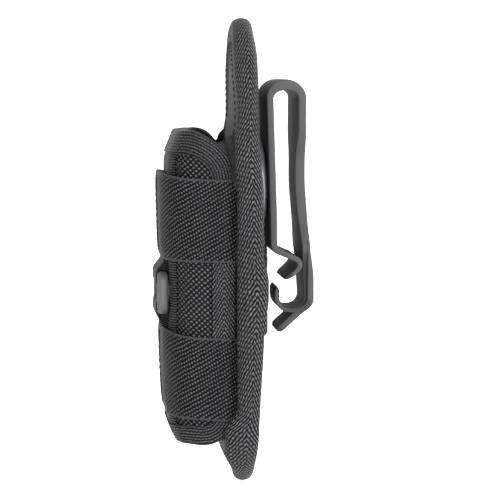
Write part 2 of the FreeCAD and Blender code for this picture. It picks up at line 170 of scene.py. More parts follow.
def rail(corners, pitch=1.5):
    """Samples (distance, y, z, normal y, normal z) along straight runs joined by round corners."""
    points = [Vector((c[0], c[1])) for c in corners]
    track = [points[0]]
    for i in range(1, len(points) - 1):
        here, radius = points[i], corners[i][2]
        back = (points[i - 1] - here).normalized()
        ahead = (points[i + 1] - here).normalized()
        half = back.angle(ahead) / 2
        reach = radius / math.tan(half)
        centre = here + (back + ahead).normalized() * (radius / math.sin(half))
        start, end = here + back * reach - centre, here + ahead * reach - centre
        turn = start.angle_signed(end)
        parts = max(int(abs(turn) / math.radians(9)), 2)
        for k in range(parts + 1):
            angle = -turn * k / parts
            turned = Vector((start.x * math.cos(angle) - start.y * math.sin(angle),
                             start.x * math.sin(angle) + start.y * math.cos(angle)))
            track.append(centre + turned)
    track.append(points[-1])
    fine = [track[0]]
    for a, b in zip(track, track[1:]):
        count = max(int((b - a).length / pitch), 1)
        if (b - a).length > 1e-4:
            fine += [a.lerp(b, k / count) for k in range(1, count + 1)]
    samples, gone = [], 0.0
    for i, point in enumerate(fine):
        ahead = fine[min(i + 1, len(fine) - 1)] - fine[max(i - 1, 0)]
        ahead.normalize()
        if i:
            gone += (point - fine[i - 1]).length
        samples.append((gone, point.x, point.y, -ahead.y, ahead.x))
    return samples


# ------------------------------------------------------------------ materials
class Signal:
    """A number inside a material's node tree, with the usual arithmetic."""

    def __init__(self, shader, socket):
        self.shader, self.socket = shader, socket

    def __add__(self, other):
        return self.shader.math("ADD", self, other)

    def __sub__(self, other):
        return self.shader.math("SUBTRACT", self, other)

    def __rsub__(self, other):
        return self.shader.math("SUBTRACT", other, self)

    def __mul__(self, other):
        return self.shader.math("MULTIPLY", self, other)

    def __truediv__(self, other):
        return self.shader.math("DIVIDE", self, other)


class Shader:
    """A material's node tree, with short calls for the maths of a weave."""

    def __init__(self, name):
        self.material = bpy.data.materials.new(name)
        self.material.use_nodes = True
        self.tree = self.material.node_tree
        self.tree.nodes.clear()
        self.bsdf = self.node("BsdfPrincipled")
        self.tree.links.new(self.bsdf.outputs[0], self.node("OutputMaterial").inputs[0])

    def node(self, kind, **inputs):
        """A new node; its inputs are given by name, with _ for a space."""
        node = self.tree.nodes.new("ShaderNode" + kind)
        for name, value in inputs.items():
            self.put(node.inputs[name.replace("_", " ")], value)
        return node

    def put(self, socket, value):
        if isinstance(value, Signal):
            self.tree.links.new(value.socket, socket)
        else:
            socket.default_value = value

    def math(self, operation, *values):
        node = self.node("Math")
        node.operation = operation
        for socket, value in zip(node.inputs, values):
            self.put(socket, value)
        return Signal(self, node.outputs[0])

    def wave(self, phase):
        """0 to 1 and back once for each whole number of phase, 1 at whole numbers."""
        return self.math("COSINE", phase * (2 * math.pi)) * 0.5 + 0.5

    def ramp(self, value, low, high):
        """0 below low, 1 above high."""
        node = self.node("MapRange", Value=value, From_Min=low, From_Max=high)
        node.interpolation_type = "SMOOTHSTEP"
        return Signal(self, node.outputs["Result"])

    def first_two(self, vector):
        """The first two parts of a vector."""
        node = self.node("SeparateXYZ", Vector=Signal(self, vector))
        return Signal(self, node.outputs[0]), Signal(self, node.outputs[1])

    def cloth(self, uneven=0.7):
        """Cloth coordinates in millimetres, across and along, a little uneven as woven."""
        place = self.node("UVMap")
        place.uv_map = "weave"
        u, v = self.first_two(place.outputs[0])
        shift = (self.noise(400, 1.0) - 0.5) * uneven
        return u + shift, v - shift * 0.7

    def noise(self, per_metre, detail=3.0, roughness=0.55, stretch=(1, 1, 1)):
        place = Signal(self, self.node("TexCoord").outputs["Object"])
        scaled = Signal(self, self.node("Mapping", Vector=place, Scale=stretch).outputs[0])
        node = self.node("TexNoise", Vector=scaled, Scale=per_metre, Detail=detail,
                         Roughness=roughness)
        return Signal(self, node.outputs[0])

    def fleck(self, per_metre=1700, depth=2.0):
        """Yarn-to-yarn variation in brightness, about 1, with broader cloudy wear."""
        fine, broad = self.noise(per_metre, 2.0, 0.7), self.noise(55, 2.0)
        return (fine - 0.5) * depth + (broad - 0.5) * 0.5 + 1.0

    def blend(self, share, dark, light):
        node = self.node("Mix")
        node.data_type = "RGBA"
        for index, value in ((0, share), (6, (*dark, 1)), (7, (*light, 1))):
            self.put(node.inputs[index], value)
        return Signal(self, node.outputs[2])

    def finish(self, colour, roughness, height=None, depth=0.3, sheen=0.0, specular=0.5,
               metallic=0.0):
        """Connect colour, roughness and a bump of the given depth in millimetres."""
        for name, value in (("Base Color", colour), ("Roughness", roughness),
                            ("Specular IOR Level", specular), ("Metallic", metallic),
                            ("Sheen Weight", sheen), ("Sheen Roughness", 0.45)):
            self.put(self.bsdf.inputs[name], value)
        if height is not None:
            bump = self.node("Bump", Distance=depth * MM, Strength=1.0, Height=height)
            self.put(self.bsdf.inputs["Normal"], Signal(self, bump.outputs[0]))
        return self.material

    def finish_cloth(self, height, span, tones, roughness, depth):
        """Finish a cloth with a painted highlight on its ridges, painted shade in its gaps and
        flecked yarns; span is the part of the height over which it turns from the dark tone to the
        light one."""
        # Painted highlight on the ridges and painted shade in the gaps, flecked yarn to yarn.
        lit = self.ramp(height, *span) * self.fleck()
        return self.finish(self.blend(lit, *tones), roughness, height, depth, sheen=0.01,
                           specular=0.08)


def grey(value, warm=0.0):
    """A near-black grey, a little blue, or warmer."""
    return (value * (1 + warm), value, value * (1.07 - warm))


def ballistic_nylon():
    """Basket weave: a staggered lattice of yarn knuckles with a painted highlight, over gaps of
    painted shade.
    """
    s = Shader("ballistic_nylon")
    u, v = s.cloth()
    weft_pitch, warp_pitch, skew, yarn_pitch, yarn_twist = 2.1, 1.95, 0.12, 0.3, 0.35
    across = s.math("COSINE", u * (2 * math.pi / weft_pitch))
    along = s.math("COSINE", (v + u * skew) * (2 * math.pi / warp_pitch))
    lattice = across * along * 0.5 + 0.5
    yarn = s.wave((u + v * yarn_twist) / yarn_pitch)
    height = s.ramp(lattice, 0.25, 0.95) + yarn * 0.06
    # Painted highlight on the knuckles and painted shade in the gaps, flecked yarn to yarn.
    lit = s.ramp(lattice, 0.38, 0.95) * s.fleck()
    colour = s.blend(lit, grey(0.001), grey(0.085))
    rough = 0.62 - lit * 0.15
    return s.finish(colour, rough, height, 0.5, sheen=0.01, specular=0.08)


def elastic():
    """Twill elastic: slanting ribs of short floats between two plain selvedges."""
    s = Shader("twill_elastic")
    u, v = s.cloth()
    slope, pitch, float_pitch = math.tan(math.radians(31)), 1.55, 1.25
    half_width, selvedge_pitch = 15.0, 0.55
    rib = (v - u * slope) / pitch
    row = s.math("FLOOR", rib + 0.5)
    floats = s.wave((u + v * slope) / float_pitch + row * 0.5)
    body = s.wave(rib) * (floats * 0.68 + 0.32)
    distance = s.math("ABSOLUTE", v - half_width)
    selvedge = s.ramp(distance, half_width - 1.1, half_width - 0.6)
    plain = s.wave(u / selvedge_pitch) * 0.2 + 0.42
    height = body * (1.0 - selvedge) + plain * selvedge
    return s.finish_cloth(height, (0.2, 0.95), (grey(0.0015), grey(0.085)), 0.58, 0.55)


def herringbone(name, pitch, spine, turn, slope, light, depth=0.45):
    """Herringbone tape: slanting ribs of short floats that turn back every few millimetres.

    One of the turns runs along the tape at spine; turn is the width of each stripe."""
    s = Shader(name)
    u, v = s.cloth()
    float_pitch = 1.3
    side = s.math("PINGPONG", u - spine, turn)
    rib = (v + side * slope) / pitch
    row = s.math("FLOOR", rib + 0.5)
    floats = s.wave((v / slope - side) / float_pitch + row * 0.5)
    height = s.wave(rib) * (floats * 0.5 + 0.5)
    tones = (grey(0.002), grey(light, 0.02))
    return s.finish_cloth(height, (0.2, 0.9), tones, 0.55, depth)


def ribbed_tape():
    """Rim tape: fine ribs along its edge, of short floats, with painted highlights on the ribs and
    painted shade on its leg inside the pouch.
    """
    s = Shader("pouch_rim_tape")
    u, v = s.cloth()
    pitch, float_pitch = 1.05, 1.5
    rib = u / pitch
    row = s.math("FLOOR", rib + 0.5)
    floats = s.wave(v / float_pitch + row * 0.5)
    height = s.wave(rib) * (floats * 0.45 + 0.55)
    # Painted shade: the tape's leg that lies inside the pouch is darkened.
    painted_inside_shade = 1.0 - s.ramp(u, 9.5, 12.0) * 0.8
    # Painted highlight on the ribs and painted shade between them, flecked yarn to yarn.
    lit = s.ramp(height, 0.15, 0.95) * s.fleck() * painted_inside_shade
    colour = s.blend(lit, grey(0.002), grey(0.07))
    return s.finish(colour, 0.55, height, 0.4, sheen=0.01, specular=0.08)


def ribbed_webbing(name, pitch, light):
    """Webbing with weft ribs across it and fine warp yarns."""
    s = Shader(name)
    u, v = s.cloth()
    yarn_pitch = 0.7
    rib = v / pitch
    yarn = s.wave(u / yarn_pitch + s.math("FLOOR", rib) * 0.5)
    height = s.wave(rib) * (yarn * 0.3 + 0.7)
    return s.finish_cloth(height, (0.15, 1.0), (grey(0.002), grey(light)), 0.6, 0.32)


def brushed_lining(name, dark, light, sheen):
    """Brushed knit lining with a soft nap."""
    s = Shader(name)
    nap, cloud = s.noise(900, 4.0, 0.7, (1, 1, 0.6)), s.noise(70, 3.0, 0.6)
    shade = s.ramp(nap * 0.6 + cloud * 0.4, 0.3, 0.7)
    colour = s.blend(shade, grey(dark), grey(light))
    return s.finish(colour, 0.85, nap, 0.3, sheen=sheen, specular=0.15)


def open_foam():
    s = Shader("foam")
    cells = s.noise(2500, 2.0)
    colour = s.blend(cells, grey(0.02), grey(0.06))
    return s.finish(colour, 0.9, cells, 0.2, specular=0.2)


def moulded(name, value, roughness, grain=0.04, warm=0.0, gloss=0.3):
    """Moulded nylon: satin, with a fine grain and faint flow marks."""
    s = Shader(name)
    fine = s.noise(1800, 3.0, 0.6)
    flow = s.noise(90, 2.0, 0.5, (1, 1, 0.25))
    colour = s.blend(s.ramp(flow, 0.3, 0.7), grey(value * 0.95, warm), grey(value * 1.06, warm))
    rough = flow * 0.12 + (roughness - 0.06)
    return s.finish(colour, rough, fine, grain, specular=gloss)


def metal(name, colour, roughness):
    s = Shader(name)
    fine = s.noise(1200, 2.0)
    tint = s.blend(fine, [c * 0.85 for c in colour], colour)
    return s.finish(tint, roughness, fine, 0.01, metallic=1.0)


def thread():
    s = Shader("sewing_thread")
    twist = s.noise(2500, 2.0)
    colour = s.blend(twist, grey(0.008), grey(0.03))
    return s.finish(colour, 0.6, twist, 0.05, sheen=0.02, specular=0.2)


NYLON = ballistic_nylon()
ELASTIC = elastic()
EDGE_TAPE = herringbone("panel_edge_tape", 2.2, 0.7, 4.6, 2.6, 0.11)
SEAM_TAPE = herringbone("pouch_seam_tape", 1.9, 4.2, 4.2, 1.6, 0.12)
RIM_TAPE = ribbed_tape()
WEBBING = ribbed_webbing("front_webbing", 0.95, 0.06)
STRAP = ribbed_webbing("strap_webbing", 0.8, 0.045)
LINING = brushed_lining("brushed_lining", 0.012, 0.042, 0.13)
# A darker copy of the brushed lining for the pouch's inside and its corner wings: real lining cloth
# with painted shade.
SHADE_DARKENED_LINING = brushed_lining("pouch_lining_cloth", 0.006, 0.026, 0.03)
FOAM = open_foam()
CLIP_NYLON = moulded("clip_nylon", 0.052, 0.75, gloss=0.2)
DOME_NYLON = moulded("dome_nylon", 0.16, 0.36, warm=-0.05, gloss=0.5)
RING_NYLON = moulded("ring_nylon", 0.07, 0.4)
CAP_BLACK = moulded("snap_cap_black", 0.008, 0.2, 0.01, gloss=0.5)
BRASS = metal("snap_brass", (0.86, 0.74, 0.50), 0.22)
THREAD = thread()
RIVET = metal("rivet_blackened", (0.05, 0.05, 0.055), 0.35)


def dress(piece, material, slot, body, *nodes):
    """Give a piece its material, its body and the nodes it stands for; slot is not used."""
    piece.data.materials.append(material)
    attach(piece, body)
    if nodes:
        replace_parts(piece, *nodes)
    return piece


# ------------------------------------------------------------------ padded back panel
PANEL_LOW, PANEL_HIGH = span("panel_edge_binding")
PANEL_HALF = PANEL_HIGH.x
PANEL_ARCH = 52.0
FRONT_Y, BACK_Y = PANEL_LOW.y, PANEL_HIGH.y
FOOT_Z = PANEL_LOW.z + PANEL_HALF
ARCH_Z = PANEL_HIGH.z - PANEL_ARCH
TAPE_REACH, TAPE_GAUGE = 10.5, 0.8
SLEEVE_TOP = span("back_sleeve")[1].z
SNAP_LOW, SNAP_HIGH = span("snap_caps")
SNAP_Z = (SNAP_LOW.z + SNAP_HIGH.z) / 2
HEM_LOW, HEM_HIGH = span("back_sleeve_hem")


def panel_outline():
    """Points (x, z) and outward normals of the panel, evenly spaced, from the foot upwards."""
    curve = []
    for k in range(400):
        angle = -math.pi / 2 + (math.pi / 2) * k / 400
        curve.append((PANEL_HALF * math.cos(angle), FOOT_Z + PANEL_HALF * math.sin(angle)))
    for k in range(400):
        curve.append((PANEL_HALF, mix(FOOT_Z, ARCH_Z, k / 400)))
    for k in range(401):
        angle = math.pi / 2 * k / 400
        curve.append((PANEL_HALF * math.cos(angle), ARCH_Z + PANEL_ARCH * math.sin(angle)))
    curve += [(-x, z) for x, z in reversed(curve[1:-1])]
    return even_loop(curve, 1.0)


def even_loop(curve, pitch):
    """Resample a closed curve at an even pitch; gives (distance, point, outward normal)."""
    points = [Vector(p) for p in curve] + [Vector(curve[0])]
    marks = [0.0]
    for a, b in zip(points, points[1:]):
        marks.append(marks[-1] + (b - a).length)
    count = int(marks[-1] / pitch)
    even, at = [], 0
    for k in range(count):
        want = marks[-1] * k / count
        while marks[at + 1] < want:
            at += 1
        share = (want - marks[at]) / max(marks[at + 1] - marks[at], 1e-9)
        even.append(points[at].lerp(points[at + 1], share))
    samples = []
    for k, point in enumerate(even):
        ahead = even[(k + 1) % count] - even[k - 1]
        samples.append((marks[-1] * k / count, point, Vector((ahead.y, -ahead.x)).normalized()))
    return samples, marks[-1]


OUTLINE, OUTLINE_LENGTH = panel_outline()


def on_outline(s):
    count = len(OUTLINE)
    place = s / OUTLINE_LENGTH * count
    low = int(place) % count
    share = place - int(place)
    _, a, na = OUTLINE[low]
    _, b, nb = OUTLINE[(low + 1) % count]
    return a.lerp(b, share), na.lerp(nb, share).normalized()


def back_swell(z):
    """How far the padding, and the sleeve under the tape, push the back out at a height."""
    plump = 0.8 * ease(PANEL_HIGH.z - 1, PANEL_HIGH.z - 14, z)
    plump *= ease(PANEL_LOW.z + 2, PANEL_LOW.z + 18, z)
    sleeve_rise = 1.4 * ease(10, -10, z) + 1.9 * ease(-20, -40, z) - 0.6 * ease(-46, -53, z)
    sleeve_rise -= 0.9 * bump_at(z, SNAP_Z, 8)
    below_hem = 1.7 * ease(-96, -56, z)
    return plump + mix(below_hem, sleeve_rise, ease(HEM_LOW.z - 0.6, HEM_LOW.z + 0.6, z))


def front_swell(z):
    """How far the padded front stands out: more at the top, and cupped below the pouch."""
    top = 0.5 * ease(22, 40, z) * ease(PANEL_HIGH.z + 1, PANEL_HIGH.z - 4, z)
    under = 0.9 * ease(19, 12, z) * ease(-6, 2, z)
    foot = 4.4 * ease(-115.5, -104, z) * ease(-86, -96, z)
    edge = ease(PANEL_LOW.z, PANEL_LOW.z + 8, z)
    return 0.5 * edge + top + under + foot


def panel_binding():
    """Tape folded round the panel's edge: front leg, rounded edge, back leg."""
    half = (BACK_Y - FRONT_Y) / 2
    middle = (BACK_Y + FRONT_Y) / 2
    edge_depth = 3.0
    path = []
    for k in range(9):
        share = k / 9
        inset = mix(TAPE_REACH, edge_depth, share)
        path.append((inset, -1.0 + 0.12 * (1 - ease(0, 0.35, share))))
    for k in range(15):
        angle = math.pi * k / 14
        path.append((edge_depth - edge_depth * math.sin(angle) ** 0.85, -math.cos(angle)))
    path += [(inset, -level) for inset, level in reversed(path[:9])]
    distances = [0.0]
    for a, b in zip(path, path[1:]):
        distances.append(distances[-1] + math.hypot(a[0] - b[0], (a[1] - b[1]) * half))
    total = distances[-1]
    outer = [(i, 0.0) for i in range(len(path))]
    section = outer + [(i, -TAPE_GAUGE) for i in reversed(range(len(path)))]

    def place(s, c, h):
        point, normal = on_outline(s)
        index = int(c)
        inset, level = path[index]
        before, after = path[max(index - 1, 0)], path[min(index + 1, len(path) - 1)]
        slope_n = -(after[0] - before[0])
        slope_y = (after[1] - before[1]) * half
        length = math.hypot(slope_n, slope_y)
        out_n, out_y = slope_y / length, -slope_n / length
        spot = point - normal * (inset - out_n * h)
        swell = back_swell(point.y)
        y = middle + level * half + out_y * h + swell * (level + 1) / 2
        y -= front_swell(point.y) * (1 - level) / 2
        return spot.x, y, spot.y

    def weave(s, c):
        return distances[int(c)] - total / 2, s

    stations = [OUTLINE_LENGTH * k / 420 for k in range(421)]
    piece = sweep("panel_edge_binding_tape", stations, section, place, loop=True, weave=weave)
    dress(piece, EDGE_TAPE, "twill_tape", HOLSTER, "panel_edge_binding")
    return piece


def oval_pad(name, inset, y_outer, y_inner, crown, facing, shape=None):
    """A closed, crowned slab of the panel's outline; facing is the side that swells.

    Its rings run from the middle of the crowned side to its edge and back on the flat side."""
    rings, count, roundness = 26, 168, 2.4
    centre = Vector((0, (PANEL_LOW.z + PANEL_HIGH.z) / 2))
    spots = []
    for k in range(count):
        point, normal = on_outline(OUTLINE_LENGTH * k / count)
        spots.append(point - normal * inset - centre)
    shares = [max(r / rings, 1e-3) for r in range(rings + 1)]
    points = []
    for share in shares:
        height = y_outer + facing * crown * (1 - share ** roundness)
        for x, z in (centre + spot * share for spot in spots):
            points.append(Vector((x, height + (shape(z) if shape else 0.0), z)) * MM)
    for share in reversed(shares):
        points += [Vector((x, y_inner, z)) * MM for x, z in (centre + spot * share for spot in spots)]
    faces = tube_faces(0, 2 * len(shares), count)
    faces.append(tuple(range(count)))
    faces.append(tuple(reversed(range(len(points) - count, len(points)))))
    if facing < 0:
        faces = [face[::-1] for face in faces]
    coords = [(points[i].x / MM, points[i].z / MM) for face in faces for i in face]
    return mesh_piece(name, points, faces, coords)


def panel():
    front = oval_pad("panel_front_lining_pad", 3.0, FRONT_Y + 0.9, FRONT_Y + 1.6, 1.4, -1,
                     lambda z: -front_swell(z))
    dress(front, LINING, "lining", HOLSTER, "panel_front_lining")
    core = oval_pad("panel_foam", 3.4, FRONT_Y + 1.65, BACK_Y - 1.7, 0.0, -1)
    dress(core, FOAM, "foam", HOLSTER, "panel_foam_core")
    back = oval_pad("panel_back_cloth_face", 3.0, BACK_Y - 0.9, BACK_Y - 1.6, 0.5, 1,
                    lambda z: back_swell(z) * ease(HEM_LOW.z + 4, HEM_LOW.z - 6, z))
    dress(back, NYLON, "ballistic", HOLSTER, "panel_back_cloth")


# ------------------------------------------------------------------ sleeve, plate and snaps
def sleeve():
    """The sleeve's cloth over the plate, between the tapes, with its folded hem."""
    top, bottom = SLEEVE_TOP, HEM_HIGH.z
    reach = PANEL_HALF - 2.0

    def half_at(z):
        if z <= ARCH_Z:
            return reach
        return reach * math.sqrt(max(1 - ((z - ARCH_Z) / PANEL_ARCH) ** 2, 0))

    def surface(x, z):
        share = abs(x) / PANEL_HALF
        edge = BACK_Y + back_swell(z) - 0.25
        plate = BACK_Y + mix(0.7, 2.6, ease(SLEEVE_TOP, SLEEVE_TOP - 50, z))
        return mix(plate, edge, ease(0.55, 0.9, share))

    def place(z, c, h):
        x = c * half_at(z)
        y = surface(x, z) + h
        return x, min(y, dome_floor(x, z)), z

    section = flat_section(-1, 1, 2 / 44, -0.9, 0)
    piece = sweep("back_sleeve_cloth", steps(bottom, top, 1.6), section, place,
                  weave=lambda z, c: (c * half_at(z), z))
    dress(piece, NYLON, "ballistic", HOLSTER, "back_sleeve")

    def place_hem(x, c, h):
        z = c
        y = surface(x, max(z, bottom - 2)) + 0.35 + h
        return x, y, z

    hem = sweep("back_sleeve_hem_tape", steps(-PANEL_HALF + 2.5, PANEL_HALF - 2.5, 1.2),
                flat_section(HEM_LOW.z, bottom + 1.2, 1.0, -2.6, 0), place_hem,
                weave=lambda x, c: (c - (HEM_LOW.z + bottom) / 2, x))
    dress(hem, EDGE_TAPE, "twill_tape", HOLSTER, "back_sleeve_hem")


DOME_LOW, DOME_HIGH = span("swivel_dome")
PIVOT = ((DOME_LOW.x + DOME_HIGH.x) / 2, (DOME_LOW.z + DOME_HIGH.z) / 2)
DOME_RADIUS = (DOME_HIGH.x - DOME_LOW.x) / 2
DOME_APEX, DOME_SPHERE, SEAT_GAP = DOME_HIGH.y + 0.8, 63.0, 0.3


def dome_floor(x, z):
    """Keeps the sleeve's cloth down where the dome's rim presses on it."""
    distance = math.hypot(x - PIVOT[0], z - PIVOT[1])
    return DOME_HIGH.y - 2.6 + 6 * ease(DOME_RADIUS - 1, DOME_RADIUS + 4, distance)


def swivel():
    """The domed bearing disc, with a rolled rim."""
    apex, sphere = DOME_APEX, DOME_SPHERE
    profile = [(0.2, DOME_LOW.y), (DOME_RADIUS - 0.4, DOME_LOW.y), (DOME_RADIUS, DOME_LOW.y + 0.4)]
    shoulder = 1.7
    rim = apex - sphere + math.sqrt(sphere ** 2 - (DOME_RADIUS - shoulder) ** 2)
    for k in range(7):
        angle = math.pi / 2 * k / 6
        profile.append((DOME_RADIUS - shoulder * (1 - math.cos(angle)),
                        rim - shoulder * (1 - math.sin(angle))))
    for k in range(1, 13):
        radius = mix(DOME_RADIUS - shoulder, 0.2, k / 12)
        profile.append((radius, apex - sphere + math.sqrt(sphere ** 2 - radius ** 2)))
    dome = lathe("swivel_dome_disc", profile, [PIVOT], turns=96)
    dress(dome, DOME_NYLON, "dome_plastic", HOLSTER, "swivel_dome")


def snaps():
    ring_low, ring_high = span("snap_rings")
    radius = (SNAP_HIGH.z - SNAP_LOW.z) / 2
    centres = [(side * (SNAP_HIGH.x - radius), SNAP_Z) for side in (-1, 1)]
    top, base = SNAP_HIGH.y + 0.25, SNAP_LOW.y + 0.25
    profile = [(radius - 0.9, base + 0.15), (radius - 0.25, base), (radius, base + 0.2),
               (radius - 0.1, base + 0.45), (radius - 0.9, top - 0.15), (radius * 0.5, top),
               (0.2, top + 0.05)]
    inside = [(0.2, base + 0.3), (radius - 1.0, base + 0.3)]
    caps = lathe("snap_cap_domes", inside + profile, centres)
    dress(caps, CAP_BLACK, "snap_black", HOLSTER, "snap_caps")
    wide = (ring_high.z - ring_low.z) / 2
    profile = [(0.3, ring_low.y - 0.3), (wide, ring_low.y - 0.3), (wide + 0.3, ring_low.y + 0.1),
               (wide, ring_high.y), (wide - 0.8, ring_high.y + 0.15), (0.3, ring_high.y + 0.15)]
    rings = lathe("snap_ring_flanges", profile, centres)
    dress(rings, BRASS, "brass", HOLSTER, "snap_rings")


# ------------------------------------------------------------------ pouch wall
SHELL_LOW, SHELL_HIGH = span("pouch_shell")
RIM_HIGH, RIM_LOW = span("pouch_top_binding")[1].z, span("pouch_bottom_binding")[0].z
BROW_WIDE, BROW_TALL, FOOT_WIDE, FOOT_TALL = 20.0, 18.0, 11.5, 12.5
WALL_HALF, WALL_FRONT, WALL_REAR = SHELL_HIGH.x, SHELL_LOW.y - 0.6, SHELL_HIGH.y - 0.9
WALL_CORNER = 11.5
WALL_GAUGE = 3.2
RIM_WIDTH = 8.4
UPPER_LOW, UPPER_HIGH = span("upper_elastic_band")
LOWER_LOW, LOWER_HIGH = span("lower_elastic_band")


def u_path(a, half, front, corner):
    """Point and outward normal on a U in plan, at distance a from the middle of its front."""
    flat = half - corner
    arc = corner * math.pi / 2
    side = 1 if a >= 0 else -1
    a = abs(a)
    if a <= flat:
        return Vector((side * a, front)), Vector((0, -1))
    if a <= flat + arc:
        angle = (a - flat) / corner
        return (Vector((side * (flat + corner * math.sin(angle)),
                        front + corner * (1 - math.cos(angle)))),
                Vector((side * math.sin(angle), -math.cos(angle))))
    return Vector((side * half, front + corner + a - flat - arc)), Vector((side, 0))


def u_length(half, front, corner, rear):
    """Distance along the U from the middle of its front to its rear edge."""
    return half - corner + corner * math.pi / 2 + (rear - front - corner)


WALL_REACH = u_length(WALL_HALF, WALL_FRONT, WALL_CORNER, WALL_REAR)


def wall(a, z, h):
    """A point on the pouch wall: a along the U, z up, h out from its outer face."""
    point, normal = u_path(a, WALL_HALF, WALL_FRONT, WALL_CORNER)
    front_share = max(-normal.y, 0)
    side_share = abs(normal.x)
    top = ease(1.5, RIM_HIGH + 2.7, z)
    foot = ease(-88, RIM_LOW - 3, z)
    waist = bump_at(z, (UPPER_LOW.z + LOWER_HIGH.z) / 2, 24)
    lean = 4.4 * top + 4.3 * foot ** 1.5 + 0.55 * waist
    along = (point.y - WALL_FRONT) / (WALL_REAR - WALL_FRONT)
    bow = 1.1 * math.sin(math.pi * min(along, 1)) * (1 - 0.5 * waist)
    pinch = 0.7 * waist * (1 - along) + 1.5 * (top + foot) * (1 - along)
    x = point.x + normal.x * (h - pinch) + math.copysign(bow, point.x) * side_share
    y = point.y + normal.y * h + lean * front_share
    if point.x < 0:
        z += 2.9 * ease(-4, 10, z) * ease(0.2, 0.75, along)
    return Vector((x, y, z))


def wall_outline():
    """Outline (a, z) of the developed wall: a tall shape with large elliptical corners."""
    reach = WALL_REACH
    high, low = RIM_HIGH, RIM_LOW
    curve = []
    quarter = [math.pi / 2 * k / 60 for k in range(61)]
    for t in quarter:
        curve.append((reach - FOOT_WIDE + FOOT_WIDE * math.sin(t),
                      low + FOOT_TALL - FOOT_TALL * math.cos(t)))
    for t in quarter:
        curve.append((reach - BROW_WIDE + BROW_WIDE * math.cos(t),
                      high - BROW_TALL + BROW_TALL * math.sin(t)))
    curve += [(-a, z) for a, z in reversed(curve)]
    return even_loop(curve, 0.8)


WALL_OUTLINE, WALL_LOOP = wall_outline()


def wall_half_at(z, inset):
    """How far the wall reaches along the U at a height, drawn in by inset."""
    reach = WALL_REACH - inset
    high, low = RIM_HIGH - inset, RIM_LOW + inset
    top, foot = BROW_TALL - inset, FOOT_TALL - inset
    if z > high - top:
        wide = BROW_WIDE - inset
        return reach - wide + wide * math.sqrt(max(1 - ((z - high + top) / top) ** 2, 0))
    if z < low + foot:
        wide = FOOT_WIDE - inset
        return reach - wide + wide * math.sqrt(max(1 - ((low + foot - z) / foot) ** 2, 0))
    return reach


def wall_layer(name, inset, under, over, pitch):
    """One layer of the wall between two depths below its outer face."""
    heights = steps(RIM_LOW + inset, RIM_HIGH - inset, pitch)
    section = flat_section(-1, 1, 2 / 90, under, over, edge=0.2)
    return sweep(name, heights, section,
                 lambda z, c, h: wall(c * wall_half_at(z, inset), z, h),
                 weave=lambda z, c: (c * wall_half_at(z, inset), z))


def rim_tape(name, keep, node, width=RIM_WIDTH, material=RIM_TAPE):
    """Tape folded over the wall's edge, along the part of its outline that keep accepts."""
    count = len(WALL_OUTLINE)
    inside = [keep(p) for _, p, _ in WALL_OUTLINE]
    starts = [k for k in range(count) if inside[k] and not inside[k - 1]]
    gauge, turn, past = 0.75, 0.9, 0.2
    under = -WALL_GAUGE
    legs = [(inset, gauge) for inset in steps(width, turn, 0.9)]
    fold = []
    for k in range(1, 8):
        angle = math.pi * k / 8
        fold.append((turn - (turn + past) * math.sin(angle),
                     mix(gauge, under - gauge, (1 - math.cos(angle)) / 2)))
    inner_legs = [(inset, under - gauge) for inset, _ in reversed(legs)]
    outer = legs + fold + inner_legs
    inner = [(inset, 0.0) for inset, _ in legs]
    inner += [(turn, mix(0, under, k / 8)) for k in range(1, 8)]
    inner += [(inset, under) for inset, _ in reversed(legs)]
    travel = [0.0]
    for a, b in zip(outer, outer[1:]):
        travel.append(travel[-1] + math.hypot(a[0] - b[0], a[1] - b[1]))
    section = [(i, 0) for i in range(len(outer))] + [(i, 1) for i in reversed(range(len(outer)))]

    def place(k, c, h):
        _, point, normal = WALL_OUTLINE[int(k) % count]
        inset, level = (outer, inner)[h][int(c)]
        a, z = point - normal * inset
        if level > 0:
            level += 0.85 * (1 - ease(20.5, 23.5, abs(a))) * (1 - ease(3, 8, inset) * 0.1)
        return wall(a, z, level)

    for number, start in enumerate(starts):
        end = next(k for k in range(start, start + count) if not inside[k % count])
        piece = sweep(f"{name}_{number}" if len(starts) > 1 else name,
                      list(range(start, end)), section, place,
                      weave=lambda k, c: (travel[int(c)], k * WALL_LOOP / count))
        dress(piece, material, "twill_tape", HOLSTER, node)


def pouch():
    shell = wall_layer("pouch_shell_cloth", 1.0, -0.9, 0.0, 0.9)
    dress(shell, NYLON, "ballistic", HOLSTER, "pouch_shell")
    padding = wall_layer("pouch_foam", 1.4, -2.65, -0.95, 3.0)
    dress(padding, FOAM, "foam", HOLSTER, "pouch_padding")
    lining = wall_layer("pouch_lining", 1.0, -WALL_GAUGE, -2.7, 2.0)
    # The pouch's lining cloth is darkened with painted shade.
    dress(lining, SHADE_DARKENED_LINING, "lining", HOLSTER, "pouch_lining_cloth")
    reach, hem = 19.8, 6.5
    cut_high = (UPPER_LOW.z + UPPER_HIGH.z) / 2
    cut_low = (LOWER_LOW.z + LOWER_HIGH.z) / 2
    rim_tape("pouch_top_rim", lambda p: p.y > cut_high, "pouch_top_binding")
    rim_tape("pouch_bottom_rim", lambda p: p.y < cut_low, "pouch_bottom_binding", 6.6)
    rim_tape("pouch_rear_rim", lambda p: cut_low - 1 < p.y < cut_high + 1,
             "pouch_rear_bindings", material=SEAM_TAPE)
    webbing = sweep("front_webbing_strip", steps(RIM_LOW + hem, RIM_HIGH - hem, 1.2),
                    flat_section(-reach, reach, 1.2, 0.03, 0.9),
                    lambda z, c, h: wall(c, z, h))
    dress(webbing, WEBBING, "webbing", HOLSTER, "front_webbing")


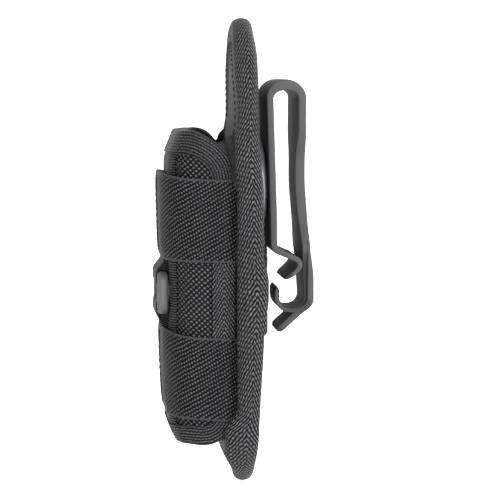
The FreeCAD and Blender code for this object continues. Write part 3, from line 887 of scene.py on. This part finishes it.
def wing(name, side, panel_line, wall_line):
    """A gusset of lining that fills in between the panel and a rear corner of the pouch."""
    def place(t, c, h):
        near = [mix(a, b, t) for a, b in zip(*panel_line)]
        far = [mix(a, b, t) for a, b in zip(*wall_line)]
        sag = 1.6 * math.sin(math.pi * c) * (1 - t)
        fold = 0.8 * math.sin(7 * math.pi * c) * (1 - t)
        x, y, z = (mix(a, b, c) for a, b in zip(near, far))
        toward = 1 if near[2] > far[2] else -1
        return side * (x + h - 0.3 * sag + 0.7 * fold), y + sag * 0.4, z - toward * sag + fold

    piece = sweep(name, steps(0, 1, 0.05), flat_section(0, 1, 0.04, -0.6, 0.4), place,
                  weave=lambda t, c: (10 * c, 20 * t))
    # The wing's lining cloth is darkened with painted shade.
    return dress(piece, SHADE_DARKENED_LINING, "lining", HOLSTER)


def wings():
    """Gussets at the pouch's four rear corners; their corners are (x, y, z) on the near side."""
    for label, side in (("left", -1), ("right", 1)):
        top = wing(f"pouch_wing_top_{label}", side,
                   ((25.5, FRONT_Y - 0.2, 14.5), (27.0, FRONT_Y - 0.2, -8)),
                   ((24.0, FRONT_Y - 9.5, 8.6), (25.0, FRONT_Y - 0.8, -8)))
        foot = wing(f"pouch_wing_foot_{label}", side,
                    ((23.5, FRONT_Y - 1.5, -103.5), (26.5, FRONT_Y - 0.4, -88)),
                    ((23.5, FRONT_Y - 7.0, -98.0), (25.0, FRONT_Y - 0.8, -88)))


def sew(name, marks, radius=0.3, lift=0.12, gap=0.35, material=None):
    """A row of stitches through marks, a list of (point, outward direction)."""
    points, faces = [], []
    for (a, out), (b, _) in zip(marks, marks[1:]):
        ahead = b - a
        start, end = a + ahead * (gap / 2), b - ahead * (gap / 2)
        add_stitch(points, faces, start + out * lift, end + out * lift, radius, out)
    seam = mesh_piece(name, points, faces, sharp=80)
    return dress(seam, material or THREAD, "twill_tape", HOLSTER)


def seams():
    """Stitch rows along the edge tape and the pouch's rims."""
    stitch = 3.0
    rows = int(OUTLINE_LENGTH / stitch)
    for label, inset, facing in (("front", 8.9, -1), ("back", 9.1, 1)):
        marks = []
        for k in range(rows + 1):
            point, normal = on_outline((OUTLINE_LENGTH * k / rows) % OUTLINE_LENGTH)
            spot = point - normal * inset
            level = FRONT_Y - front_swell(point.y) if facing < 0 else BACK_Y + back_swell(point.y)
            marks.append((Vector((spot.x, level, spot.y)), Vector((0, facing, 0))))
        if facing > 0:
            marks = [mark for mark in marks if mark[0].z > SLEEVE_TOP or mark[0].z < HEM_LOW.z]
            breaks = [k for k in range(1, len(marks))
                      if (marks[k][0] - marks[k - 1][0]).length > 2 * stitch]
            for number, (low, high) in enumerate(zip([0] + breaks, breaks + [len(marks)])):
                if high - low > 2:
                    sew(f"panel_seam_{label}_{number}", marks[low:high])
        else:
            sew(f"panel_seam_{label}", marks)
    count = len(WALL_OUTLINE)
    marks = []
    for k in range(0, count + 1, 4):
        _, point, normal = WALL_OUTLINE[k % count]
        a, z = point - normal * (RIM_WIDTH - 1.3)
        spot = wall(a, z, 0.75)
        marks.append((spot, (wall(a, z, 1.75) - spot).normalized()))
    hidden = [k for k, mark in enumerate(marks)
              if UPPER_LOW.z + 1 < mark[0].z < UPPER_HIGH.z - 1
              or LOWER_LOW.z + 1 < mark[0].z < LOWER_HIGH.z - 1]
    run, number = [], 0
    for k, mark in enumerate(marks + [None]):
        if mark is None or k in hidden:
            if len(run) > 2:
                sew(f"pouch_rim_seam_{number}", run, radius=0.24)
                number += 1
            run = []
        else:
            run.append(mark)


# ------------------------------------------------------------------ elastic bands
def band(name, low, high, node, droop, stand):
    """An elastic band round the pouch, a little loose, sewn down behind.

    stand gives how far the front of its foot and of its top is drawn in or stands off."""
    half, front, corner = high.x, low.y, 13.0
    rear = FRONT_Y - 0.15
    reach = u_length(half, front, corner, rear)
    height = high.z - low.z
    gauge = 1.1

    def place(a, c, h):
        point, normal = u_path(a, half, front, corner)
        along = (point.y - front) / (rear - front)
        share = c / height
        bow = 0.5 * math.sin(math.pi * min(along, 1)) * abs(normal.x)
        front_share = max(-normal.y, 0)
        curl = -0.7 * abs(2 * share - 1) ** 6
        lip = (mix(stand[0], stand[1], share) + curl) * front_share
        tuck = -1.2 * ease(0.86, 1.0, along)
        slack = 0.18 * math.sin(a * 0.21 + share * 2.0) * math.sin(math.pi * share)
        out = h + bow + lip + tuck + slack
        z = low.z + c - droop * along + 1.5 * front_share ** 2 * ease(0.3, 1, share)
        return point.x + normal.x * out, point.y + normal.y * out, z

    piece = sweep(name, steps(-reach, reach, 0.9),
                  flat_section(0, height, 1.0, -gauge, 0, edge=0.4), place,
                  weave=lambda a, c: (a, c))
    dress(piece, ELASTIC, "elastic", HOLSTER, node)

    stitches, faces = [], []
    for k in range(11):
        bottom = 2.2 + k * (height - 4.4) / 11
        tilt = 0.7 if k % 2 else -0.7
        start = Vector(place(-tilt, bottom, 0.08))
        end = Vector(place(tilt, bottom + (height - 4.4) / 11, 0.08))
        add_stitch(stitches, faces, start, end, 0.28)
    seam = mesh_piece(name + "_seam", stitches, faces, sharp=80)
    dress(seam, THREAD, "elastic", HOLSTER)


def add_stitch(points, faces, start, end, radius, out=Vector((0, -1, 0))):
    """One stitch: a short bead of thread between two points."""
    first = len(points)
    ahead = (end - start).normalized()
    side = ahead.cross(out).normalized()
    up = side.cross(ahead).normalized()
    rings = ((0.0, 0.35), (0.15, 0.85), (0.5, 1.0), (0.85, 0.85), (1.0, 0.35))
    strands, crown = 6, 0.18
    for share, size in rings:
        centre = start.lerp(end, share) + out * (crown * math.sin(math.pi * share))
        for t in range(strands):
            angle = 2 * math.pi * t / strands
            spot = centre + (side * math.cos(angle) + up * math.sin(angle)) * (radius * size)
            points.append(spot * MM)
    faces += [face[::-1] for face in tube_faces(first, len(rings), strands)]
    last = first + (len(rings) - 1) * strands
    faces.append(tuple(first + t for t in reversed(range(strands))))
    faces.append(tuple(last + t for t in range(strands)))


# ------------------------------------------------------------------ accessory ring
RING_LOW, RING_HIGH = span("accessory_ring")


def ring():
    """A flat slotted ring, rounded on every edge, held by two webbing loops."""
    half, tall = RING_HIGH.x, (RING_HIGH.z - RING_LOW.z) / 2
    middle = (RING_HIGH.z + RING_LOW.z) / 2
    bar = 4.2
    back, front = RING_HIGH.y, RING_LOW.y
    depth = (back - front) / 2
    centre_y = (back + front) / 2
    corner = 3.4
    curve = []
    for sx, sz, start in ((1, -1, -90), (1, 1, 0), (-1, 1, 90), (-1, -1, 180)):
        for k in range(13):
            angle = math.radians(start + 90 * k / 12)
            curve.append((sx * (half - corner) + corner * math.cos(angle),
                          sz * (tall - corner) + corner * math.sin(angle)))
    loop, _ = even_loop(curve, 0.7)
    count = len(loop)
    section = []
    for k in range(16):
        angle = 2 * math.pi * k / 16
        c, s = math.cos(angle), math.sin(angle)
        section.append((math.copysign(abs(c) ** 0.55, c), math.copysign(abs(s) ** 0.55, s)))

    def place(k, c, h):
        _, point, normal = loop[int(k) % count]
        width = mix(3.2, bar, ease(0.3, 0.8, abs(normal.y)))
        spot = point - normal * (1 - c) * width / 2
        stout = mix(1.0, 1.26, ease(12.0, 13.6, abs(spot.x)))
        return spot.x, centre_y + h * depth * stout, middle + 1.03 * spot.y

    piece = sweep("accessory_ring_body", list(range(count + 1)), section, place, loop=True)
    dress(piece, RING_NYLON, "ring_plastic", HOLSTER, "accessory_ring")

    gauge, width = 0.85, 12.0
    skin = gauge / 2
    band_back = UPPER_LOW.y + 1.75
    for name, sign, hem in (("ring_strap_upper", 1, UPPER_LOW.z),
                            ("ring_strap_lower", -1, LOWER_HIGH.z)):
        slot = middle + sign * (tall - bar)
        edge = middle + sign * tall
        far = hem + sign * 3.2
        route = [(back + skin + 0.05, far), (back + skin, slot - sign * skin, 1.0),
                 (front - skin, slot - sign * skin, 1.3), (front - skin, edge, 3.0),
                 (band_back, hem - sign * 1.2, 2.0), (band_back + 0.2, far)]
        track = rail(route, 0.8)

        def place_strap(s, c, h, track=track):
            index = min(range(len(track)), key=lambda k: abs(track[k][0] - s))
            _, y, z, ny, nz = track[index]
            return c, y + ny * h, z + nz * h

        strap = sweep(name + "_loop", [t[0] for t in track],
                      flat_section(-width, width, 1.2, -skin, skin), place_strap)
        dress(strap, STRAP, "webbing", HOLSTER, name)

        def place_fold(z, c, h, edge=edge, hem=hem):
            climb = ease(0.1, 0.9, (z - edge) / (hem - edge))
            outer = mix(front - skin + 1.3, band_back + 0.3, climb)
            return c, mix(back, outer, h), z

        fold = sweep(name + "_fold", steps(edge + sign * 0.5, far, 0.7),
                     flat_section(-width + 0.3, width - 0.3, 1.2, 0, 1, edge=0.1), place_fold)
        dress(fold, STRAP, "webbing", HOLSTER)


# ------------------------------------------------------------------ spring clip
BEND_LOW, BEND_HIGH = span("clip_spring_bend")
CLIP_GAUGE = 2.5
CLIP_HALF = BEND_HIGH.x
BEND_Z = BEND_LOW.z
LEG_TOP = (BEND_LOW.y + CLIP_GAUGE / 2, BEND_Z)
ARM_TOP = (BEND_HIGH.y - CLIP_GAUGE / 2 + 0.2, BEND_Z)
# Where the clip's strips run: (y, z, corner radius), the last point without a radius.
TONGUE = [(-4.85, -29.7, 2.6), (6.2, -34.5, 2.2), (2.06, -38.75, 1.5), (-0.9, -40.7)]
ARM_SHAPE = [(5.05, -6, 60), (7.3, -34, 40), (7.4, -52.5, 4.7), (-3.2, -52.5, 4.7),
             (-3.0, -43.9)]
TAB_SHAPE = [(7.6, -26), (8.45, -38, 30), (8.5, -49.9, 4.2), (4.9, -53.2, 4), (-3.0, -60.3)]
FOOT_HALF, HOOK_HALF, TAB_HALF = 17.0, 10.2, 10.5


def strip_section(across=30):
    """Section of a moulded strip: c from -1 to 1 across, h from -1 to 1 through."""
    outer = [(-1.0, 0.7), (-0.994, 0.88), (-0.982, 0.97)]
    outer += [(c, 1.0) for c in steps(-0.95, 0.95, 1.9 / across)]
    outer += [(-c, h) for c, h in reversed(outer[:3])]
    return outer + [(c, -h) for c, h in reversed(outer)]


def dome_seat(x, y, z, h):
    """Hollows the leg's panel side to clear the dome that it turns on."""
    out = math.hypot(x - PIVOT[0], z - PIVOT[1])
    if h > 0 or out > DOME_RADIUS:
        return y
    reach = DOME_SPHERE + SEAT_GAP
    return max(y, DOME_APEX - DOME_SPHERE + math.sqrt(reach ** 2 - out ** 2))


def moulded_strip(name, track, half_at, gauge_at, node, hollow=None):
    """A strip of moulded plastic along a track, with its edges rounded."""
    lookup = {round(t[0], 4): t for t in track}

    def place(s, c, h):
        _, y, z, ny, nz = lookup[round(s, 4)]
        half = half_at(s, y, z)
        thick = gauge_at(s, y, z) / 2
        x, y, z = c * half, y + ny * h * thick, z + nz * h * thick
        return x, hollow(x, y, z, h * ny) if hollow else y, z

    piece = sweep(name, [t[0] for t in track], strip_section(), place)
    for polygon in piece.data.polygons:
        polygon.use_smooth = True
    piece.data.materials.append(CLIP_NYLON)
    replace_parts(piece, node) if isinstance(node, str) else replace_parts(piece, *node)
    return piece


def round_tip(left, reach):
    """Share of a strip's thickness that is left near its rounded tip."""
    if left >= reach:
        return 1.0
    return math.sqrt(max(1 - ((reach - left) / reach) ** 2, 0.04))


def clip():
    """Inner leg with tongue and lip; bend, outer arm and hook in one; outer layer and tab.

    s is the distance along a strip's track, and y, z its point there."""
    leg_track = rail([LEG_TOP] + TONGUE, 1.0)
    total = leg_track[-1][0]

    def leg_half(s, y, z):
        narrow = mix(CLIP_HALF, FOOT_HALF, ease(-15, -28, z))
        return narrow - 3.2 * ease(total - 3.6, total, s)

    def leg_gauge(s, y, z):
        thin = mix(CLIP_GAUGE, 1.95, ease(-27, -32, z))
        return mix(thin, 1.5, ease(total - 9, total - 4, s)) * round_tip(total - s, 0.6)

    leg = moulded_strip("clip_inner_leg_strip", leg_track, leg_half, leg_gauge,
                        "clip_inner_leg", dome_seat)
    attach(leg, CLIP)

    centre = (LEG_TOP[0] + ARM_TOP[0]) / 2
    radius = (ARM_TOP[0] - LEG_TOP[0]) / 2
    bend, squash = [], 0.83
    for k in range(19):
        angle = math.pi - math.pi * k / 18
        bend.append((centre + radius * math.cos(angle),
                     BEND_Z + squash * radius * math.sin(angle)))
    arm_track = rail([ARM_TOP] + ARM_SHAPE, 1.0)
    gone, samples = 0.0, []
    for k, (y, z) in enumerate(bend[:-1]):
        if k:
            gone += math.dist(bend[k - 1], (y, z))
        angle = math.pi - math.pi * k / 18
        samples.append((gone, y, z, math.cos(angle), math.sin(angle)))
    gone += math.dist(bend[-2], bend[-1])
    samples += [(gone + s, y, z, ny, nz) for s, y, z, ny, nz in arm_track]
    bend_length = gone
    arm_total = samples[-1][0]
    hook_from, taper, waist_half = arm_total - 31, 2.6, 11.5

    def arm_half(s, y, z):
        if s < bend_length:
            return CLIP_HALF
        waist = ease(15, 2, z) * ease(-29, -16, z)
        wide = mix(mix(FOOT_HALF, CLIP_HALF, ease(-30, 10, z)), waist_half, waist)
        wide = mix(wide, HOOK_HALF + taper, ease(hook_from - 8, hook_from + 2, s))
        return wide - taper * ease(hook_from + 8, hook_from + 20, s)

    def arm_gauge(s, y, z):
        crown = bump_at(s, bend_length * 0.45, bend_length * 0.5)
        thick = CLIP_GAUGE + 0.35 * ease(0, bend_length, s) + 1.3 * crown
        thick += 0.8 * ease(18, 2, z) - 0.65 * ease(-15, -25, z)
        thick = mix(thick, 1.7, ease(hook_from - 4, hook_from + 12, s))
        return thick * round_tip(arm_total - s, 0.9)

    arm = moulded_strip("clip_outer_arm_strip", samples, arm_half, arm_gauge,
                        ["clip_spring_bend", "clip_outer_arm"])
    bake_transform(arm)

    tab_track = rail(TAB_SHAPE, 0.9)
    tab_total = tab_track[-1][0]

    def tab_half(s, y, z):
        half = mix(FOOT_HALF, TAB_HALF, ease(-47.5, -53.5, z))
        return half - 1.6 * ease(tab_total - 2.4, tab_total, s)

    def tab_gauge(s, y, z):
        return mix(0.8, 2.4, ease(0, 16, s)) * round_tip(tab_total - s, 0.7)

    tab = moulded_strip("clip_release_tab", tab_track, tab_half, tab_gauge, "clip_outer_arm")
    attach(tab, ARM)


# ------------------------------------------------------------------ studio
def studio():
    """A white paper bowl that glows as painted light, brightest behind the object and dimmer up its
    walls elsewhere, with soft lamps round it; in metres.
    """
    level = PANEL_LOW.z * MM - 0.0004
    flat, curve, rim = 2.6, 1.2, 5.0
    profile = [(0.01, level), (0.8, level), (1.7, level), (flat, level)]
    for k in range(1, 17):
        angle = math.pi / 2 * k / 16
        profile.append((flat + curve * math.sin(angle), level + curve * (1 - math.cos(angle))))
    profile.append((flat + curve, rim))
    turns = 64
    points = []
    for radius, height in profile:
        for t in range(turns):
            angle = 2 * math.pi * t / turns
            points.append((radius * math.cos(angle), radius * math.sin(angle), height))
    faces = [face[::-1] for face in tube_faces(0, len(profile), turns)]
    faces.append(tuple(range(turns)))
    backdrop = mesh_piece("studio_floor", points, faces)
    paper = Shader("studio_paper")
    paper.finish((0.8, 0.8, 0.8, 1), 0.9, specular=0.0)
    # Painted light: the paper glows, evenly near the object, brightest behind it and dimmer up the
    # walls elsewhere.
    paper.put(paper.bsdf.inputs["Emission Color"], (1, 1, 1, 1))
    x, y = paper.first_two(paper.node("TexCoord").outputs["Object"])
    radius = paper.math("SQRT", x * x + y * y)
    behind = paper.ramp(x * -1.0 / radius, -0.2, 0.8)
    wall = paper.ramp(radius, 1.0, 2.8) * (1.0 - behind)
    paper.put(paper.bsdf.inputs["Emission Strength"], 0.78 - wall * 0.64)
    backdrop.data.materials.append(paper.material)

    world = bpy.data.worlds.new("studio_world")
    world.use_nodes = True
    world.node_tree.nodes["Background"].inputs[0].default_value = (1, 1, 1, 1)
    world.node_tree.nodes["Background"].inputs[1].default_value = 0.15
    bpy.context.scene.world = world
    target = Vector((0, -0.012, -0.03))
    for name, spot, size, power in (("key", (0.75, 0.75, 0.55), 0.45, 15.0),
                                    ("side", (1.1, 0.0, 0.05), 0.4, 6.0),
                                    ("fill", (0.7, -0.9, 0.3), 0.7, 0.8),
                                    ("top", (0.1, 0.1, 1.0), 0.5, 5.0),
                                    ("rim", (-0.6, 0.6, 0.3), 0.5, 5.0)):
        light = bpy.data.lights.new(name, "AREA")
        light.size = size
        light.energy = power
        lamp = bpy.data.objects.new(name, light)
        lamp.location = spot
        lamp.rotation_euler = (target - Vector(spot)).to_track_quat("-Z", "Y").to_euler()
        bpy.context.scene.collection.objects.link(lamp)


def camera():
    """Side view from the right, turned a little to the front and a little from above."""
    turn, rise, distance = math.radians(5.2), math.radians(4.5), 0.850
    aim = Vector((0, -12.2, -31.0)) * MM
    data = bpy.data.cameras.new("camera")
    data.lens, data.sensor_width = 165.2, 36.0
    eye = bpy.data.objects.new("camera", data)
    direction = Vector((math.cos(turn) * math.cos(rise), -math.sin(turn) * math.cos(rise),
                        math.sin(rise)))
    eye.location = aim + direction * distance
    eye.rotation_euler = (-direction).to_track_quat("-Z", "Y").to_euler()
    bpy.context.scene.collection.objects.link(eye)
    bpy.context.scene.camera = eye


def hidden_hardware():
    """CAD nodes that keep their own shape and get a finish."""
    for node, material in (("pivot_rivet", RIVET), ("pivot_washer", RIVET),
                           ("pivot_backing_plate", CLIP_NYLON), ("snap_posts", BRASS)):
        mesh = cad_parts[node].data
        for index in range(len(mesh.materials)):
            mesh.materials[index] = material


camera()
panel_binding()
panel()
sleeve()
swivel()
snaps()
pouch()
band("upper_elastic_band_strip", UPPER_LOW, UPPER_HIGH, "upper_elastic_band", 0.7, (-0.3, 0.6))
band("lower_elastic_band_strip", LOWER_LOW, LOWER_HIGH, "lower_elastic_band", 1.6, (-1.6, -0.2))
wings()
seams()
ring()
clip()
hidden_hardware()
studio()
bpy.context.scene.view_settings.view_transform = "Standard"
